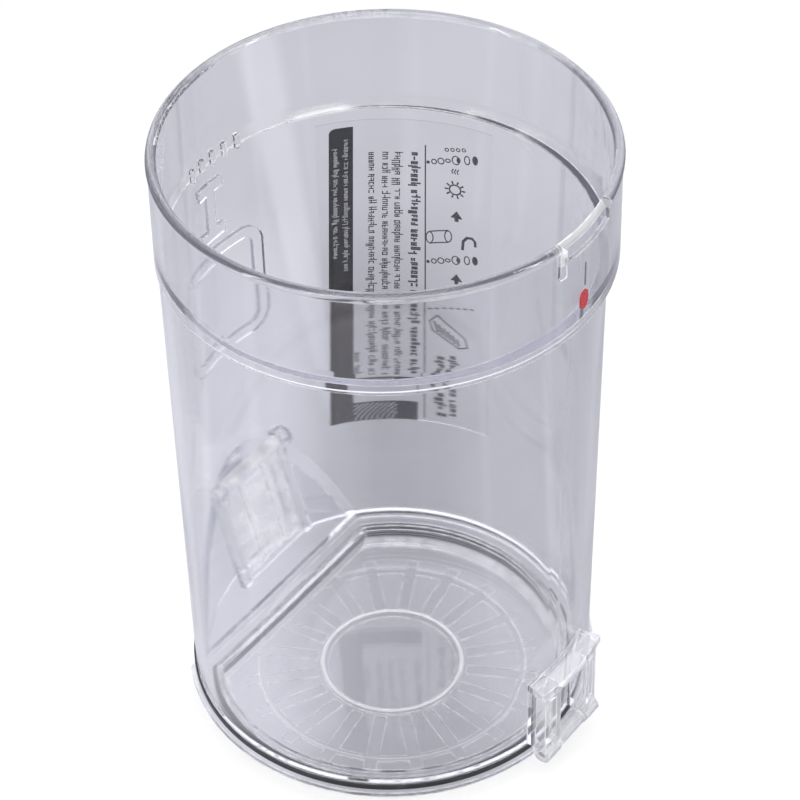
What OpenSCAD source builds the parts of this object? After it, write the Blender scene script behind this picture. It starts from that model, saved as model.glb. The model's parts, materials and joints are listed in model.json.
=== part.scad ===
// Clear dust bin of a stick vacuum: a moulded cup with a mouth collar, a slanted
// inlet partition with a check flap, and a D-shaped bottom lid on a pin hinge.
// Z is up, the lid rests on Z = 0, the tube's axis is the Z axis, the lid's hinge
// is on the +X side and the inlet duct on the -X side.

/* [Tube] */
// Outside diameter of the tube where it meets the collar
tube_top_d = 106.8; // [102:0.4:112]
// Outside diameter of the tube at its bottom edge
tube_bottom_d = 103; // [99:0.5:108]
// Height of the tube from its bottom edge to the ledge
tube_h = 134.5; // [120:0.5:150]
// Wall of the tube
tube_wall = 2.2; // [1.8:0.1:2.8]

/* [Mouth collar] */
// Depth of the mouth above the ledge
collar_h = 27.3; // [24:0.1:32]
// Wall of the collar
collar_wall = 2.2; // [1.8:0.1:2.6]
// How far the collar is set off the tube's axis, towards the hinge
collar_offset = 1.3; // [0.8:0.1:1.8]
// Step between collar and tube on the duct side
collar_step = 0.3; // [0.2:0.1:1]
// Radius of the rounded bead along the rim
rim_bead_r = 1.3; // [1.2:0.1:1.6]
// Thickness of the ledge under the mouth
ledge_t = 1.5; // [1.2:0.1:3]

/* [Lock pocket in the rim] */
// Half angle of the pocket
pocket_half = 11; // [8:0.5:15]
// Turn of the pocket's middle from the hinge
pocket_turn = 2; // [0:0.5:6]
// Height of the pocket below the rim
pocket_h = 6; // [4:0.5:8]
// Depth of the pocket into the collar's wall
pocket_in = 1.1; // [0.6:0.1:1.3]
// Height of the pocket's steep wall below its sloping top
pocket_wall_h = 3.3; // [2.4:0.1:4]
// Height of the rim's bead that is left above the pocket's slope
pocket_lip = 0.6; // [0.4:0.1:1]
// Width of the stop rib at the pocket's end
stop_w = 2.2; // [1.4:0.1:3.2]
// How far the stop rib stands out of the collar
stop_out = 0.9; // [0.6:0.1:1.4]
// How far the stop rib reaches below the pocket
stop_below = 3; // [2:0.1:5]

/* [Ledge teeth] */
// Number of teeth over the duct
teeth = 5; // [3:1:7]
// Angle between two teeth
tooth_pitch = 4.8; // [4:0.2:6]
// Width of a tooth
tooth_w = 1.3; // [0.8:0.1:2]
// Height of a tooth
tooth_h = 3.2; // [2:0.2:8]
// Depth of a tooth
tooth_d = 1.3; // [0.8:0.1:2]
// How much the mouth narrows beside the teeth
seat_draft = 0.2; // [0.1:0.05:0.4]
// Height of the mouth's straight wall above the teeth's tops
seat_over = 0.4; // [0.2:0.1:1]

/* [Frame and catch on the duct side] */
// Width of the raised frame
frame_w = 33; // [24:1:40]
// Height of the raised frame
frame_h = 32.6; // [24:0.2:40]
// Height of the frame's middle above the tube's bottom edge
frame_z = 90.5; // [80:0.5:96]
// Width of the frame's rib
frame_rib = 3; // [2:0.2:4]
// Outside corner radius of the frame
frame_corner = 6; // [4.5:0.5:9]
// How far frame and catch stand out of the wall
frame_out = 1.3; // [0.8:0.1:2]
// Width of the I-shaped catch above the frame
catch_w = 9.5; // [6:0.5:14]
// Height of the catch
catch_h = 17.3; // [12:0.1:20]
// Gap between the frame's top and the catch
catch_gap = 3; // [2:0.5:6]
// Thickness of the catch's web and flanges
catch_rib = 3.2; // [2:0.2:4]

/* [Inlet partition] */
// Depth of the duct, from the outside of the tube to the partition's foot
duct_depth = 15.4; // [14.4:0.1:17.5]
// Lean of the partition from the vertical
lean = 18; // [16:0.5:18.5]
// Thickness of the partition
partition_t = 2; // [1.6:0.1:2.6]
// Width of the port
port_w = 19; // [15:0.5:20]
// Height of the port along the slope
port_h = 20.2; // [16:0.1:21]
// Height of the port's sill above the foot, along the slope
port_sill = 13.8; // [12.5:0.1:15.5]
// Corner radius of the port
port_corner = 2.5; // [1.5:0.1:4]

/* [Check flap] */
// Height of the flap's hinge above the partition's foot, along the slope
flap_hinge_z = 38.9; // [38:0.1:39.3]
// Width of the flap
flap_w = 22.8; // [21.6:0.2:23.2]
// Thickness of the flap
flap_t = 1.4; // [1:0.1:1.6]
// How far the flap reaches below the sill
flap_lap = 2.5; // [1.5:0.1:4]
// Gap between the flap and the partition
flap_gap = 0.3; // [0.2:0.05:0.5]
// Diameter of the flap's barrel
barrel_d = 4.2; // [3.8:0.1:4.4]
// Diameter of the flap's two trunnions
trunnion_d = 2.2; // [1.8:0.1:2.4]
// Length of each trunnion
trunnion_l = 2.8; // [2:0.1:3.2]
// Distance between the flap's two stiffening ribs
flap_rib_pitch = 9.6; // [7:0.2:14]
// Width of a stiffening rib
flap_rib_w = 1.6; // [1:0.1:2.4]
// Height of a stiffening rib
flap_rib_h = 0.9; // [0.5:0.1:1.2]
// Width of the two rails beside the flap
rail_w = 2.6; // [2:0.1:3.4]
// Height of the rails
rail_h = 2.4; // [1.6:0.1:3]
// Length of each bearing boss
boss_l = 3.6; // [3:0.1:4.2]
// Diameter of the bearing bosses
boss_d = 6; // [5:0.1:6.6]
// How far the lip under the flap stands out
sill_lip_out = 1.2; // [0.8:0.1:1.8]
// Thickness of that lip
sill_lip_t = 1.2; // [0.8:0.1:1.8]
// Side clearance of the flap
flap_side = 0.4; // [0.3:0.05:0.6]
// Clearance under the flap's edge
flap_foot_gap = 1; // [0.6:0.1:1.6]
// Radial clearance of the trunnions
trunnion_play = 0.08; // [0.04:0.01:0.1]

/* [Bottom lid] */
// Height of the tube's bottom edge above the floor
lid_drop = 10; // [9:0.1:12]
// Thickness of the lid's floor
floor_t = 1.6; // [1.2:0.1:2.4]
// Radius of the round corner between the lid's floor and its wall
dish_corner = 3.6; // [2.6:0.1:4]
// How far the flange stands out of the tube
flange_out = 1.5; // [0.6:0.1:1.8]
// Thickness of the flange
flange_t = 1.4; // [1.2:0.1:2]
// Height of the raised seat under the tube's edge
seat_rise = 2.1; // [1.6:0.1:2.4]
// Gap between the seat and the tube's edge
seat_gap = 0.1; // [0.05:0.01:0.2]
// Depth of the lid wall's top below the tube's bottom edge
plug_drop = 1.3; // [1:0.1:1.8]
// Thickness of the lid's wall
plug_wall = 1.4; // [1.2:0.1:2]
// Distance between the lid's wall and the inside of the tube
seal_room = 3.2; // [2.6:0.1:4]
// Number of broad ribs under the floor
lid_ribs = 20; // [12:1:28]
// Width of a lid rib
lid_rib_w = 3; // [1.6:0.1:3.6]
// Height of a lid rib
lid_rib_h = 0.8; // [0.5:0.1:1.2]
// Outside radius of the small ring in the middle of the floor
pad_r = 18.7; // [14:0.1:22]
// Gap between the small ring and the ribs
rib_gap = 1.2; // [0.8:0.1:2]
// Outside radius of the large ring across the ribs
foot_ring_r = 35.2; // [30:0.1:37]
// Width of the two rings
foot_ring_w = 1.6; // [1:0.1:2]
// How far the ribs reach past the large ring
rib_past = 3.2; // [2:0.1:4]

/* [Lid seal] */
// Height of the seal round the lid's wall
seal_h = 2.4; // [1.6:0.1:2.6]
// Width of the seal
seal_w = 1.3; // [1:0.1:2]
// Gap between the seal and the lid
seal_seat = 0.05; // [0.02:0.01:0.1]

/* [Lid hinge] */
// Distance from the tube's wall to the pin's axis
pin_out = 3.3; // [3.1:0.1:3.8]
// Height of the pin's axis below the tube's bottom edge
pin_drop = 1.6; // [1.4:0.1:2]
// Diameter of the pin
pin_d = 2; // [1.6:0.1:2.2]
// Radial clearance of the pin in the lid's knuckle
pin_play = 0.08; // [0.04:0.01:0.1]
// Radial clearance of the pin in the two ears
pin_seat = 0.03; // [0.01:0.01:0.05]
// Gap between the two ears
ear_gap = 11.6; // [9:0.2:14]
// Width of each ear
ear_w = 5.6; // [4:0.2:7]
// Height of the bracket above the tube's bottom edge
bracket_h = 22; // [16:0.2:30]
// Thickness of the bracket's top plate
bracket_plate = 2.4; // [1.8:0.1:3.4]
// Outside radius of the ear's foot round the pin
foot_r = 2.5; // [2.2:0.1:2.7]
// Side clearance between knuckle and ears
knuckle_side = 0.4; // [0.3:0.05:0.6]
// Radius of the lid's knuckle
knuckle_r = 2.2; // [1.9:0.1:2.4]

/* [Label and mark] */
// Angle from the hinge to the label's near edge
label_from = 94.4; // [80:0.2:100]
// Angle that the label covers
label_span = 50; // [30:1:52]
// Gap between the label's upper edge and the ledge
label_gap = 4.9; // [3.2:0.1:12]
// Height of the label
label_h = 97.6; // [70:0.2:100]
// Thickness of the label
label_t = 0.2; // [0.1:0.05:0.3]
// Gap between label and tube
label_seat = 0.02; // [0.01:0.01:0.05]
// Width of the oval mark on the collar
mark_w = 3.2; // [2:0.1:5]
// Height of the oval mark
mark_h = 5.2; // [3.4:0.1:7]
// Thickness of the mark
mark_t = 0.3; // [0.2:0.05:0.5]
// Height of the mark's middle above the ledge
mark_z = 6.9; // [5:0.1:12]

/* [Hidden] */
$fn = 96;
tube_top_r = tube_top_d/2;
tube_bottom_r = tube_bottom_d/2;
collar_r = tube_top_r + collar_offset + collar_step;
mouth_r = collar_r - collar_wall;
bore_r = tube_bottom_r - tube_wall;
taper = (tube_top_r - tube_bottom_r)/tube_h;
chord = tube_bottom_r - duct_depth;
edge_z = lid_drop;
ledge_z = edge_z + tube_h;
rim_z = ledge_z + collar_h;
over = 20;
// How far the pocket's slope runs past the mouth's wall
slope_past = 0.2;

frame_mid_z = edge_z + frame_z;
catch_mid_z = frame_mid_z + frame_h/2 + catch_gap + catch_h/2;

// The flap's axis stands off the partition's face by the barrel's radius, which bites into the flap
barrel_bite = 0.1;
hinge_x = flap_gap + barrel_d/2 - barrel_bite;
flap_foot_z = port_sill - flap_lap;
boss_from = flap_w/2 + flap_side;
lip_z = flap_foot_z - flap_foot_gap - sill_lip_t;
trunnion_end_gap = 0.3;

flange_top_z = edge_z - seat_gap - seat_rise;
flange_z = flange_top_z - flange_t;
plug_r = bore_r - seal_room;
plug_chord = chord - seal_room;
plug_top_z = edge_z - plug_drop;
seal_z = flange_z - seal_seat - seal_h;

pin_x = tube_bottom_r + pin_out;
pin_z = edge_z - pin_drop;
pin_inset = 0.3;
ear_from = ear_gap/2;
ear_to = ear_from + ear_w;
bracket_r = pin_x + foot_r - 0.3;
bracket_half = asin(ear_to/bracket_r) + 1.6;
// The hollow in the front of each ear
ear_hollow_w = 2.2;
ear_hollow_in = 1.9;
ear_hollow_z = 3.4;
ear_notch = 0.4;
lip_over = 0.5;

label_z = tube_h - label_gap - label_h;
mark_seat = 0.02;

// Radius of the label's back at a height above the tube's bottom edge
function skin_r(z) = tube_bottom_r + taper*z + label_seat;

clear_tint = [0.80, 0.80, 0.86, 0.45];

// A ring sector about the Z axis, from angle a0 over da
module sector(r1, r2, z1, z2, a0, da) {
    rotate([0, 0, a0]) rotate_extrude(angle = da)
        translate([r1, z1]) square([r2 - r1, z2 - z1]);
}

// A rectangle with round corners, centred
module round_rect(w, h, r) {
    square([w - 2*r, h], center = true);
    square([w, h - 2*r], center = true);
    for (i = [-1, 1], j = [-1, 1])
        translate([i*(w/2 - r), j*(h/2 - r)]) circle(r, $fn = 32);
}

// A full-height cone that follows the tube's taper, at a distance in from its outside
module tube_cone(inset, z0, z1) {
    translate([0, 0, z0]) cylinder(
        h = z1 - z0,
        r1 = tube_bottom_r - inset + taper*(z0 - edge_z),
        r2 = tube_bottom_r - inset + taper*(z1 - edge_z));
}

// The D outline of the lid's opening: a circle cut by a chord on the -X side
module d_outline(r, c) {
    intersection() {
        circle(r);
        translate([-c, -r]) square([c + r, 2*r]);
    }
}

// Places things on the partition's face: x stands off the face, z runs up the slope
module on_partition() {
    translate([-chord, 0, edge_z]) rotate([0, -lean, 0]) children();
}

// The collar's wall with its ledge and its rim bead as one turned profile
module collar_ring() {
    ledge_in = tube_top_r - tube_wall/2 - collar_offset;
    foot_z = ledge_z - ledge_t;
    bead_z = rim_z - rim_bead_r;
    rotate_extrude() {
        polygon([
            [ledge_in, foot_z],
            [collar_r, foot_z],
            [collar_r, bead_z],
            [mouth_r, bead_z],
            [mouth_r, ledge_z + tooth_h + seat_over],
            [mouth_r - seat_draft, ledge_z],
            [ledge_in, ledge_z]]);
        translate([mouth_r + rim_bead_r, bead_z]) circle(rim_bead_r, $fn = 32);
    }
}

// The collar stands off the tube's axis
module collar() translate([collar_offset, 0, 0]) {
    difference() {
        collar_ring();
        rotate([0, 0, pocket_turn]) lock_pocket();
    }
    rotate([0, 0, pocket_turn]) stop_rib();
}

// The pocket has a sloping top, where the lock's tab rides in
module lock_pocket() {
    rotate([0, 0, -pocket_half]) rotate_extrude(angle = 2*pocket_half) polygon([
        [collar_r - pocket_in, rim_z - pocket_h],
        [collar_r + over, rim_z - pocket_h],
        [collar_r + over, rim_z + over],
        [mouth_r - slope_past, rim_z + over],
        [mouth_r - slope_past, rim_z - pocket_lip],
        [collar_r - pocket_in, rim_z - pocket_h + pocket_wall_h]]);
}

module stop_rib() {
    rib_half = asin(stop_w/2/collar_r);
    sector(collar_r - collar_wall/2, collar_r + stop_out, rim_z - pocket_h - stop_below, rim_z - rim_bead_r,
           -pocket_half - rib_half, 2*rib_half);
}

module ledge_teeth() {
    half = asin(tooth_w/2/mouth_r);
    translate([collar_offset, 0, 0]) for (i = [0 : teeth - 1])
        sector(mouth_r - tooth_d, mouth_r + collar_wall/2, ledge_z - ledge_t/2, ledge_z + tooth_h,
               180 + (i - (teeth - 1)/2)*tooth_pitch - half, 2*half);
}

// The raised frame and the I-shaped catch follow the wall on the duct side
module duct_side_ribs() {
    intersection() {
        tube_cone(-frame_out, edge_z, ledge_z - ledge_t/2);
        rotate([90, 0, -90]) translate([0, 0, tube_bottom_r*0.8]) linear_extrude(over) {
            translate([0, frame_mid_z]) difference() {
                round_rect(frame_w, frame_h, frame_corner);
                round_rect(frame_w - 2*frame_rib, frame_h - 2*frame_rib, frame_corner - frame_rib);
            }
            translate([0, catch_mid_z]) {
                square([catch_rib, catch_h], center = true);
                for (s = [-1, 1]) translate([0, s*(catch_h - catch_rib)/2])
                    square([catch_w, catch_rib], center = true);
            }
        }
    }
}

// The partition with its port, the rails beside the flap and the two bearing bosses
module partition() {
    intersection() {
        tube_cone(tube_wall/2, edge_z, ledge_z);
        difference() {
            on_partition() {
                translate([-partition_t, -tube_top_d/2, -over]) cube([partition_t, tube_top_d, flap_hinge_z + 2*over]);
                for (s = [-1, 1]) {
                    translate([-partition_t/2, s*(boss_from + rail_w/2) - rail_w/2, lip_z])
                        cube([rail_h + partition_t/2, rail_w, flap_hinge_z - lip_z]);
                    translate([hinge_x, s*(boss_from + boss_l/2), flap_hinge_z]) rotate([90, 0, 0])
                        cylinder(h = boss_l, d = boss_d, center = true, $fn = 48);
                    translate([-partition_t/2, s*(boss_from + boss_l/2) - boss_l/2, flap_hinge_z - boss_d/2])
                        cube([hinge_x + partition_t/2, boss_l, boss_d]);
                }
                translate([-partition_t/2, -boss_from - rail_w/2, lip_z])
                    cube([partition_t/2 + sill_lip_out, 2*boss_from + rail_w, sill_lip_t]);
            }
            on_partition() {
                translate([-partition_t - 1, 0, port_sill + port_h/2]) rotate([90, 0, 90])
                    linear_extrude(partition_t + 2) round_rect(port_w, port_h, port_corner);
                translate([hinge_x, 0, flap_hinge_z]) rotate([90, 0, 0])
                    cylinder(h = 2*(boss_from + trunnion_l + trunnion_end_gap), r = trunnion_d/2 + trunnion_play,
                             center = true, $fn = 48);
            }
        }
    }
}

// Two ears, a curved top plate between the ears' heads, and round feet about the pin
module hinge_bracket() {
    difference() {
        union() {
            intersection() {
                union() for (s = [-1, 1]) translate([0, s*(ear_from + ear_w/2), 0]) {
                    translate([tube_bottom_r - tube_wall/2, -ear_w/2, edge_z])
                        cube([over, ear_w, bracket_h - bracket_plate/2]);
                    translate([pin_x - foot_r, -ear_w/2, pin_z]) cube([over, ear_w, pin_drop + 1]);
                }
                translate([0, 0, pin_z]) cylinder(h = bracket_h + over, r = bracket_r);
            }
            for (s = [-1, 1]) translate([pin_x, s*(ear_from + ear_w/2), pin_z]) rotate([90, 0, 0])
                cylinder(h = ear_w, r = foot_r, center = true, $fn = 48);
            sector(tube_bottom_r - tube_wall/2, bracket_r + lip_over, edge_z + bracket_h - bracket_plate,
                   edge_z + bracket_h, -bracket_half, 2*bracket_half);
        }
        translate([pin_x, 0, pin_z]) rotate([90, 0, 0])
            cylinder(h = 2*ear_to + 2, r = pin_d/2 + pin_seat, center = true, $fn = 48);
        for (s = [-1, 1])
            translate([bracket_r - ear_hollow_in, s*(ear_from + ear_w/2) - ear_hollow_w/2, edge_z + ear_hollow_z])
                cube([over, ear_hollow_w, bracket_h - bracket_plate - ear_hollow_z - ear_hollow_w]);
    }
}

module cup_body() color(clear_tint) {
    difference() {
        union() {
            tube_cone(0, edge_z, ledge_z);
            collar();
        }
        tube_cone(tube_wall, edge_z - 1, ledge_z + 1);
    }
    ledge_teeth();
    difference() {
        union() {
            duct_side_ribs();
            hinge_bracket();
        }
        tube_cone(tube_wall/2, edge_z - over, ledge_z);
    }
    partition();
}

// The flap lies on the partition's face and swings in about its barrel
module inlet_flap() color([0.84, 0.84, 0.90, 0.5]) on_partition() {
    translate([flap_gap, -flap_w/2, flap_foot_z]) cube([flap_t, flap_w, flap_hinge_z - flap_foot_z]);
    for (s = [-1, 1]) translate([flap_gap, s*flap_rib_pitch/2 - flap_rib_w/2, flap_foot_z + 1])
        cube([flap_t + flap_rib_h, flap_rib_w, flap_hinge_z - flap_foot_z - 1]);
    translate([hinge_x, 0, flap_hinge_z]) rotate([90, 0, 0]) {
        cylinder(h = flap_w, d = barrel_d, center = true, $fn = 48);
        cylinder(h = 2*(boss_from + trunnion_l), d = trunnion_d, center = true, $fn = 48);
    }
}

// The dish of the lid as one turned profile with a round corner, hollow or filled
module dish(filled) {
    mid_r = plug_r - dish_corner;
    mid_z = lid_rib_h + dish_corner;
    outer = [for (a = [0 : 15 : 90]) [mid_r + dish_corner*sin(a), mid_z - dish_corner*cos(a)]];
    inner = [for (a = [90 : -15 : 0])
        [mid_r + (dish_corner - plug_wall)*sin(a), mid_z - (dish_corner - floor_t)*cos(a)]];
    rotate_extrude() polygon(concat(
        [[0, lid_rib_h]],
        outer,
        [[plug_r, plug_top_z]],
        filled ? [[0, plug_top_z]] : concat(
            [[plug_r - plug_wall, plug_top_z]],
            inner,
            [[0, lid_rib_h + floor_t]])));
}

module half_space(c, z) {
    translate([-c, -tube_bottom_d, -over]) cube([c + tube_bottom_d, 2*tube_bottom_d, z + 2*over]);
}

// Two rings and broad ribs on the underside, which the lid stands on
module lid_ribs_under() {
    rise = lid_rib_h + floor_t/2;
    rib_from = pad_r + rib_gap;
    rib_to = foot_ring_r + rib_past;
    rotate_extrude() for (r = [pad_r, foot_ring_r])
        translate([r - foot_ring_w, 0]) square([foot_ring_w, rise]);
    for (i = [0 : lid_ribs - 1]) rotate([0, 0, (i + 0.5)*360/lid_ribs])
        translate([rib_from, -lid_rib_w/2, 0]) cube([rib_to - rib_from, lid_rib_w, rise]);
}

module bottom_lid() color(clear_tint) {
    knuckle_half = ear_from - knuckle_side;
    web_in = tube_bottom_r - tube_wall;
    difference() {
        union() {
            intersection() {
                union() {
                    dish(false);
                    lid_ribs_under();
                    intersection() {
                        dish(true);
                        translate([-plug_chord, -tube_bottom_r, -1]) cube([plug_wall, tube_bottom_d, plug_top_z + 2]);
                    }
                }
                half_space(plug_chord, plug_top_z);
            }
            difference() {
                translate([0, 0, flange_z]) linear_extrude(flange_t) difference() {
                    d_outline(tube_bottom_r + flange_out, chord + partition_t);
                    d_outline(plug_r - plug_wall/2, plug_chord - plug_wall/2);
                }
                for (s = [-1, 1])
                    translate([pin_x - foot_r - ear_notch, s*(ear_from + ear_w/2) - ear_w/2 - ear_notch, 0])
                        cube([over, ear_w + 2*ear_notch, lid_drop]);
            }
            translate([0, 0, flange_z]) linear_extrude(flange_t + seat_rise) difference() {
                d_outline(tube_bottom_r, chord + partition_t);
                d_outline(bore_r, chord);
            }
            translate([web_in, -knuckle_half, flange_z]) cube([pin_x - web_in, 2*knuckle_half, flange_t]);
            translate([pin_x, 0, pin_z]) rotate([90, 0, 0])
                cylinder(h = 2*knuckle_half, r = knuckle_r, center = true, $fn = 48);
        }
        translate([pin_x, 0, pin_z]) rotate([90, 0, 0])
            cylinder(h = ear_gap, r = pin_d/2 + pin_play, center = true, $fn = 48);
    }
}

// A soft D-shaped ring round the lid's wall, under the flange
module lid_seal() color([0.25, 0.25, 0.28]) {
    inner = seal_seat;
    outer = seal_seat + seal_w;
    translate([0, 0, seal_z]) linear_extrude(seal_h) difference() {
        d_outline(plug_r + outer, plug_chord + outer);
        d_outline(plug_r + inner, plug_chord + inner);
    }
}

module lid_hinge_pin() color("silver") {
    translate([pin_x, 0, pin_z]) rotate([90, 0, 0])
        cylinder(h = 2*(ear_to - pin_inset), d = pin_d, center = true, $fn = 48);
}

module label() color([0.9, 0.9, 0.92, 0.6]) {
    top = label_z + label_h;
    rotate([0, 0, label_from]) rotate_extrude(angle = label_span) polygon([
        [skin_r(label_z), edge_z + label_z],
        [skin_r(label_z) + label_t, edge_z + label_z],
        [skin_r(top) + label_t, edge_z + top],
        [skin_r(top), edge_z + top]]);
}

// The red oval on the collar, below the lock pocket
module alignment_mark() color("red") {
    r0 = collar_r + mark_seat;
    intersection() {
        translate([collar_offset, 0, ledge_z]) difference() {
            cylinder(h = collar_h, r = r0 + mark_t);
            translate([0, 0, -1]) cylinder(h = collar_h + 2, r = r0);
        }
        translate([collar_offset, 0, ledge_z + mark_z]) rotate([90, 0, 90]) linear_extrude(collar_r + over) {
            square([mark_w, mark_h - mark_w], center = true);
            for (s = [-1, 1]) translate([0, s*(mark_h - mark_w)/2]) circle(d = mark_w, $fn = 32);
        }
    }
}

cup_body();
inlet_flap();
bottom_lid();
lid_seal();
lid_hinge_pin();
label();
alignment_mark();
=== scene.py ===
"""Dresses the clear dust bin: plastics, seal, pin, label with its print, mark, and the stage round it."""

import json
import math
import random

import bmesh
import bpy
from mathutils import Matrix, Vector

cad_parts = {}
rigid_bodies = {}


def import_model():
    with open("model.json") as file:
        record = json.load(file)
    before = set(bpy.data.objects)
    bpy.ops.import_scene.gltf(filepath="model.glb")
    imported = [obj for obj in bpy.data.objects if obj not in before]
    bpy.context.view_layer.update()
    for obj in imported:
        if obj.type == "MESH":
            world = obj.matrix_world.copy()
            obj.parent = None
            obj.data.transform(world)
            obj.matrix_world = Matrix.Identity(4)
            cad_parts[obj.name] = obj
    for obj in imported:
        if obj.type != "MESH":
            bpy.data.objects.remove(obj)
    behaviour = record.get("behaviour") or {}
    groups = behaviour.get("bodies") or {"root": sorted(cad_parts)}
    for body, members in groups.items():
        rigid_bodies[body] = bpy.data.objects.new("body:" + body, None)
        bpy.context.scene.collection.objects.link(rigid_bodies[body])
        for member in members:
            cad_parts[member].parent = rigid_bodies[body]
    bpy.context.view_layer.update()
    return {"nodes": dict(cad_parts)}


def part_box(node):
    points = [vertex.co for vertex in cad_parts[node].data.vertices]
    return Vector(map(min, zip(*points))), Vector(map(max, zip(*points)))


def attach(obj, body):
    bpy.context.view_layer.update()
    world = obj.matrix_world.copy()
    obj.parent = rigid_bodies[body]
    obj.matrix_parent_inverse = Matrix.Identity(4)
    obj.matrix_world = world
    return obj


for leftover in list(bpy.data.objects):
    bpy.data.objects.remove(leftover)
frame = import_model()

bl_info = {
    "name": "Clear dust bin",
    "version": (1, 0, 0),
    "blender": (4, 5, 0),
    "location": "View3D > Sidebar > Dust bin",
    "description": "Finishes and stage for a clear dust bin",
    "category": "Object",
}

MM = 0.001

# The picture's side, and the point of it that shows the bin's middle, in pixels
PICTURE = 800
PICTURE_POINT = (390.4866, 401.4109)
SENSOR = 36.0

# The bin's middle, which the camera looks at, in metres
MIDDLE = Vector((0.0013, 0.0, 0.0929))

# Where painted highlights make the cup's plastic look pale, in metres. A pair runs from nothing to full, and
# a share says how pale.
COLLAR_HEIGHT = 0.0273
LEDGE_REACH = (0.0012, 0.0005)
LEDGE_SHARE = 0.6
DUCT_WAY = (-0.57, 0.82)
DUCT_SIDE = (0.020, 0.040)
BRACKET_RADIUS = (0.0528, 0.0536)
BRACKET_HEIGHT = (0.045, 0.040)
BRACKET_SHARE = 0.22
POCKET_SIDE = (0.02, 0.03)
POCKET_MIDDLE = 0.002
POCKET_HALF_WIDTH = (0.0112, 0.0106)
POCKET_FOOT = (0.0032, 0.0028)
POCKET_TOP = (0.0004, 0.0008)
POCKET_SHARE = 0.35

# The same painted highlights on the lid: its two round beads by radius, half width and share, and its
# knuckle
BEADS = ((0.0183, 0.0006, 0.42), (0.0352, 0.0003, 0.22))
KNUCKLE_RADIUS = (0.0532, 0.0540)
KNUCKLE_SHARE = 0.16

# How far below the lip the seal's pale stripes take to show in full, in metres
STRIPE_FADE = 0.0005

# The label's print, in millimetres round the tube from the label's near edge and up it.
# Patches: place, width and height
BAND = ((39.4, 89.0, 6.2, 94.0), (38.6, 136.8, 4.6, 1.7))
BOX = (22.4, 45.0, 5.0, 6.4)
FIELD = (30.6, 45.0, 11.8, 6.4)
# The band's rounded upper corner: place, radius and number of slices
CORNER = (40.9, 136.0)
CORNER_RADIUS = 1.6
CORNER_SLICES = 8
# Rows of signs: place, top, bottom and size, then weight and word length where they aren't the usual
BAND_ROWS = ((40.8, 131.5, 96.0, 1.4, 0.3), (38.1, 134.0, 92.0, 1.4, 0.3))
ROWS = (
    (31.7, 129.4, 54.0, 2.1),
    (28.3, 129.4, 54.0, 2.1),
    (25.2, 129.4, 54.0, 2.1),
    (20.9, 129.6, 53.4, 2.3, 0.42),
    (35.4, 65.5, 54.5, 1.9),
    (13.9, 64.9, 43.2, 2.4, 0.5, (3, 6)),
    (10.6, 65.8, 44.0, 2.4, 0.4, (4, 7)),
)
# The small signs of one row of parts: place, half width, half height, filled or not
PARTS_ROW = (
    (17.4, 0.45, 0.5, True),
    (15.9, 0.62, 0.7, False),
    (14.1, 0.8, 0.9, False),
    (12.3, 0.62, 0.5, False),
    (10.2, 1.0, 1.3, False),
    (9.5, 0.55, 0.9, True),
    (7.2, 0.7, 1.3, False),
    (5.0, 0.8, 1.4, True),
)
PARTS_ROWS_AT = (126.9, 95.2)
PARTS_SLOPE = 0.26
# Lines: width, then the points that each passes
LINES = (
    (0.35, (18.1, 132.0), (18.1, 86.0)),
    (0.35, (18.1, 84.0), (18.1, 43.0)),
    (0.35, (17.0, 105.1), (12.2, 106.3)),
    (0.35, (17.0, 101.3), (12.2, 102.5)),
    (0.75, (8.4, 101.2), (8.2, 103.8), (7.2, 105.2), (5.8, 105.4), (5.0, 104.6), (4.9, 103.2)),
    (0.4, (16.8, 76.4), (14.8, 78.6), (12.0, 76.0), (7.4, 72.6), (6.6, 69.8), (9.2, 68.8), (12.6, 71.0),
     (16.0, 73.4), (16.8, 76.4)),
)
# Rings: place, radius, line width and sides, then height over width where it isn't one
RINGS = (
    (10.4, 119.6, 1.5, 0.4, 14),
    (17.0, 103.2, 0.9, 0.3, 12, 2.0),
    (12.2, 104.4, 0.9, 0.3, 12, 2.0),
)
# The burst of short lines round the first ring: its middle, inner and outer radius, and number of lines
BURST = (10.4, 119.6)
BURST_RADII = (1.9, 2.6)
BURST_LINES = 10
# Heights of the two small arrows
ARROWS_AT = (111.2, 90.9)
ARROW_PLACE = 10.0
ARROW_SLICES = 5
# The pale diagonals on the field: number, first foot, pitch, lean, lower edge, height and width
DIAGONALS = 12
DIAGONAL_FOOT = 26.4
DIAGONAL_PITCH = 1.35
DIAGONAL_LEAN = 4.6
DIAGONAL_BEND = 1.4
DIAGONAL_LOW = 42.3
DIAGONAL_HEIGHT = 5.4
DIAGONAL_WIDTH = 0.42
DIAGONAL_STEPS = 8
FIELD_ENDS = (25.1, 36.2)
# How far in front of the dark print the pale print lies, in print thicknesses
PALE_IN_FRONT = 3.2

# Tones of the floor seen through the plastic, by metres aside from the bin, beyond it or round it. These
# tones are painted light and shade: a painted shadow close to the bin, brighter close to it on one side, and
# darker far to the sides.
CLOSE = (0.21, 0.15)
PAINTED_SHADOW_ASIDE = (-0.036, -0.010)
PAINTED_SHADOW_END = (0.012, 0.034)
EDGE_ASIDE = (0.10, 0.30)
STRIPS_FROM = (0.085, 0.12)
SEE_THROUGH = (0.16, 0.40)

# The bright panels overhead and the gaps between them, as waves over the sky
PANEL_WAVES = 30.0
GAP_WAVES = 13.0
GAP_SHIFT = 0.8

# Side and back lamps: watts, size, and place aside, towards the camera and up from the bin's middle
LAMPS = {
    "lamp_left": (4.0, (0.10, 0.8), (-0.9, 0.5, 0.5)),
    "lamp_right": (4.0, (0.10, 0.8), (0.9, 0.4, 0.5)),
    "lamp_back": (2.0, (0.9, 0.5), (0.0, -1.0, 1.2)),
}

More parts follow.
